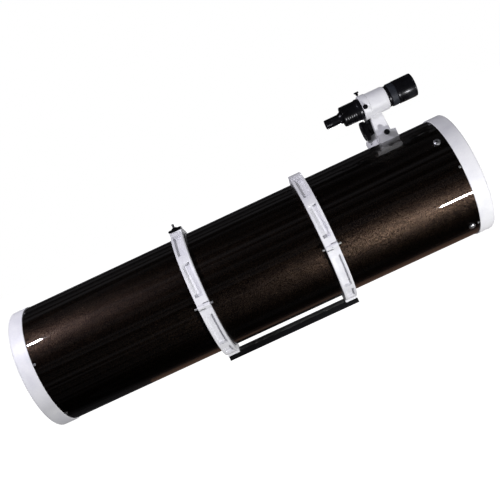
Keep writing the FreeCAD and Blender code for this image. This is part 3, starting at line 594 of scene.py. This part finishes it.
def buildSets():
    n = spiderNut
    at = sum(span("spider_nuts")) / 2
    nuts = []
    for angle in (-135, -45, 45, 135):
        steps = 2 * n["teeth"]
        bm = turned([(n["low"], n["bore"]), (n["low"], 7.6), (n["low"] + 0.4, n["radius"]),
                     (n["low"] + 3.4, n["radius"]), (n["low"] + 3.9, 7.6), (n["high"] - 1.4, 6.6),
                     (n["high"] - 0.3, 4.9), (n["high"], 3.9), (n["high"], n["bore"] + 0.3),
                     (n["high"] - 0.3, n["bore"])], steps, 0)
        knurl(bm, n["low"] + 0.4, n["low"] + 3.4, n["radius"], steps, 0.4, 0.1)
        nuts.append((bm, lift(angle, at) @ upright))
    finishPiece(joinMeshes(nuts), "spiderNuts", ["spider_nuts"])
    k = cellKnob
    back, front = span("collimation_knob_a")
    steps = 2 * k["teeth"]
    for i, letter in enumerate("abc"):
        bm = turned([(front, k["bore"]), (front, 8.2), (front - 0.8, k["radius"]), (back + 1.0, k["radius"]),
                     (back + 0.3, 8.4), (back, 7.6), (back, 5.4), (back + 0.8, 4.6), (back + 0.8, k["bore"])],
                    steps, 0)
        knurl(bm, back + 1.0, front - 0.8, k["radius"], steps, 0.6)
        finishPiece(bm, "collimationKnob" + letter.upper(), ["collimation_knob_" + letter],
                    lift(90 + 120 * i, 0, k["circle"]))
    s = cellSpring
    back, front = span("collimation_springs")
    coils = []
    for i in range(3):
        bm = bmesh.new()
        wire = bmesh.ops.create_circle(bm, cap_ends=True, segments=10, radius=s["wire"] * mm)["verts"]
        start = Matrix.Translation(((back + s["wire"]) * mm, 0, s["radius"] * mm))
        bmesh.ops.transform(bm, matrix=start @ Matrix.Rotation(pi / 2, 4, "X"), verts=wire)
        steps = s["turns"] * 32
        travel = (front - back - 2 * s["wire"]) * mm / steps
        bmesh.ops.spin(bm, geom=bm.verts[:] + bm.edges[:] + bm.faces[:], cent=(0, 0, 0), axis=(1, 0, 0),
                       dvec=(travel, 0, 0), angle=tau * s["turns"], steps=steps)
        bmesh.ops.recalc_face_normals(bm, faces=bm.faces)
        coils.append((bm, lift(90 + 120 * i, 0, cellKnob["circle"])))
    finishPiece(joinMeshes(coils), "collimationSprings", ["collimation_springs"])


buildSets()
print("screws, knobs and springs")


# floor, world, lights and camera
stageSettings = dict(floorHeight=-1.1, floorSize=40.0, camera=(0.0385, -1.8514, 0.5030), lens=56.48,
                     fill=0.34, gloss=0.2, lights={
                         "rightBox": dict(place=(0.821, -1.470, -0.665), aim=(0.452, -0.1425, 0.1513),
                                          size=(0.15, 0.06), power=23, colour="#ffffff"),
                         "leftBox": dict(place=(-1.041, -0.896, 1.563), aim=(-0.539, -0.1207, 0.257),
                                         size=(0.06, 0.045), power=20, colour="#f6f4ff"),
                         "backBox": dict(place=(0.3, 2.1, -0.2), aim=(-0.03, 0.145, 0.2),
                                         size=(0.9, 0.2), power=14, colour="#ffffff"),
                         "warmBounce": dict(place=(0.35, 1.15, -1.0), aim=(0.1, 0.0, 0.1),
                                            size=(2.2, 0.9), power=1.1, colour="#cf9c7c"),
                         "topFill": dict(place=(0.3, -1.9, 1.7), aim=(0.1, 0.0, 0.3),
                                         size=(1.6, 1.6), power=4, colour="#f8f7ff", glossy=False),
                     })


def buildFloor():
    bm = bmesh.new()
    bmesh.ops.create_grid(bm, x_segments=4, y_segments=4, size=stageSettings["floorSize"] / 2)
    bmesh.ops.translate(bm, vec=(0, 0, stageSettings["floorHeight"]), verts=bm.verts)
    mesh = bpy.data.meshes.new("paleFloor")
    bm.to_mesh(mesh)
    bm.free()
    material, tree, shader = emptyMaterial("paleFloor")
    place = addNode(tree, "ShaderNodeTexCoord").outputs["Object"]
    grain = addNode(tree, "ShaderNodeTexNoise", Vector=place, Scale=6.0, Detail=2.0)
    tree.links.new(colourRamp(tree, grain.outputs["Fac"], [(0.3, "#f0f0ef"), (0.7, "#f4f4f3")]),
                   shader.inputs["Base Color"])
    shader.inputs["Roughness"].default_value = 0.9
    shader.inputs["Emission Color"].default_value = (1, 1, 1, 1)
    shader.inputs["Emission Strength"].default_value = 0.85
    mesh.materials.append(material)
    floor = bpy.data.objects.new("paleFloor", mesh)
    bpy.context.scene.collection.objects.link(floor)
    floor.visible_glossy = False
    floor.visible_diffuse = False


def buildWorld():
    world = bpy.data.worlds.new("studio")
    bpy.context.scene.world = world
    world.use_nodes = True
    tree = world.node_tree
    tree.nodes.clear()
    seen = addNode(tree, "ShaderNodeBackground", Color=(1, 1, 1, 1), Strength=1.0)
    fill = addNode(tree, "ShaderNodeBackground", Color=hexColour("#e6e6e9"), Strength=stageSettings["fill"])
    # what gloss sees: a dark room with a few faint level bands
    sky = addNode(tree, "ShaderNodeTexCoord").outputs["Generated"]
    height = addNode(tree, "ShaderNodeSeparateXYZ", in0=sky)
    bands = addNode(tree, "ShaderNodeTexNoise", {"noise_dimensions": "1D"}, W=height.outputs[2], Scale=9.0,
                    Detail=4.0)
    bands = remap(tree, bands.outputs["Fac"], 0.0, stageSettings["gloss"], 0.45, 0.8)
    dark = addNode(tree, "ShaderNodeBackground", Color=hexColour("#e2e0e8"), Strength=bands)
    path = addNode(tree, "ShaderNodeLightPath")
    both = addNode(tree, "ShaderNodeMixShader", in0=path.outputs["Is Glossy Ray"], in1=fill.outputs[0],
                   in2=dark.outputs[0])
    both = addNode(tree, "ShaderNodeMixShader", in0=path.outputs["Is Camera Ray"], in1=both.outputs[0],
                   in2=seen.outputs[0])
    output = addNode(tree, "ShaderNodeOutputWorld")
    tree.links.new(both.outputs[0], output.inputs[0])


def buildLights():
    for name, settings in stageSettings["lights"].items():
        light = bpy.data.lights.new(name, "AREA")
        light.shape = "RECTANGLE"
        light.size, light.size_y = settings["size"]
        light.energy = settings["power"]
        light.color = hexColour(settings["colour"])[:3]
        lamp = bpy.data.objects.new(name, light)
        lamp.location = settings["place"]
        aim = Vector(settings["aim"]) - lamp.location
        # the long side lies along the tube
        back = -aim.normalized()
        side = (Vector((1, 0, 0)) - back * back.x).normalized()
        lamp.rotation_euler = Matrix((side, back.cross(side), back)).transposed().to_euler()
        lamp.visible_camera = False
        lamp.visible_glossy = settings.get("glossy", True)
        bpy.context.scene.collection.objects.link(lamp)


def buildCamera():
    view = (Matrix.Rotation(radians(-24.933), 3, "Z") @ Matrix.Rotation(radians(-1.380), 3, "X")
            @ Matrix.Rotation(radians(1.642), 3, "Y") @ Matrix(((1, 0, 0), (0, 0, -1), (0, 1, 0)))
            @ Matrix.Rotation(radians(10), 3, "X"))  # rows: right, down, forward
    camera = bpy.data.cameras.new("camera")
    camera.lens = stageSettings["lens"]
    camera.sensor_width = 36
    camera.clip_end = 100
    eye = bpy.data.objects.new("camera", camera)
    eye.rotation_euler = Matrix((view[0], -view[1], -view[2])).transposed().to_euler()
    eye.location = stageSettings["camera"]
    bpy.context.scene.collection.objects.link(eye)
    bpy.context.scene.camera = eye


buildFloor()
buildWorld()
buildLights()
buildCamera()
bpy.context.scene.view_settings.view_transform = "Standard"
print("floor, lights and camera")

bpy.context.view_layer.update()
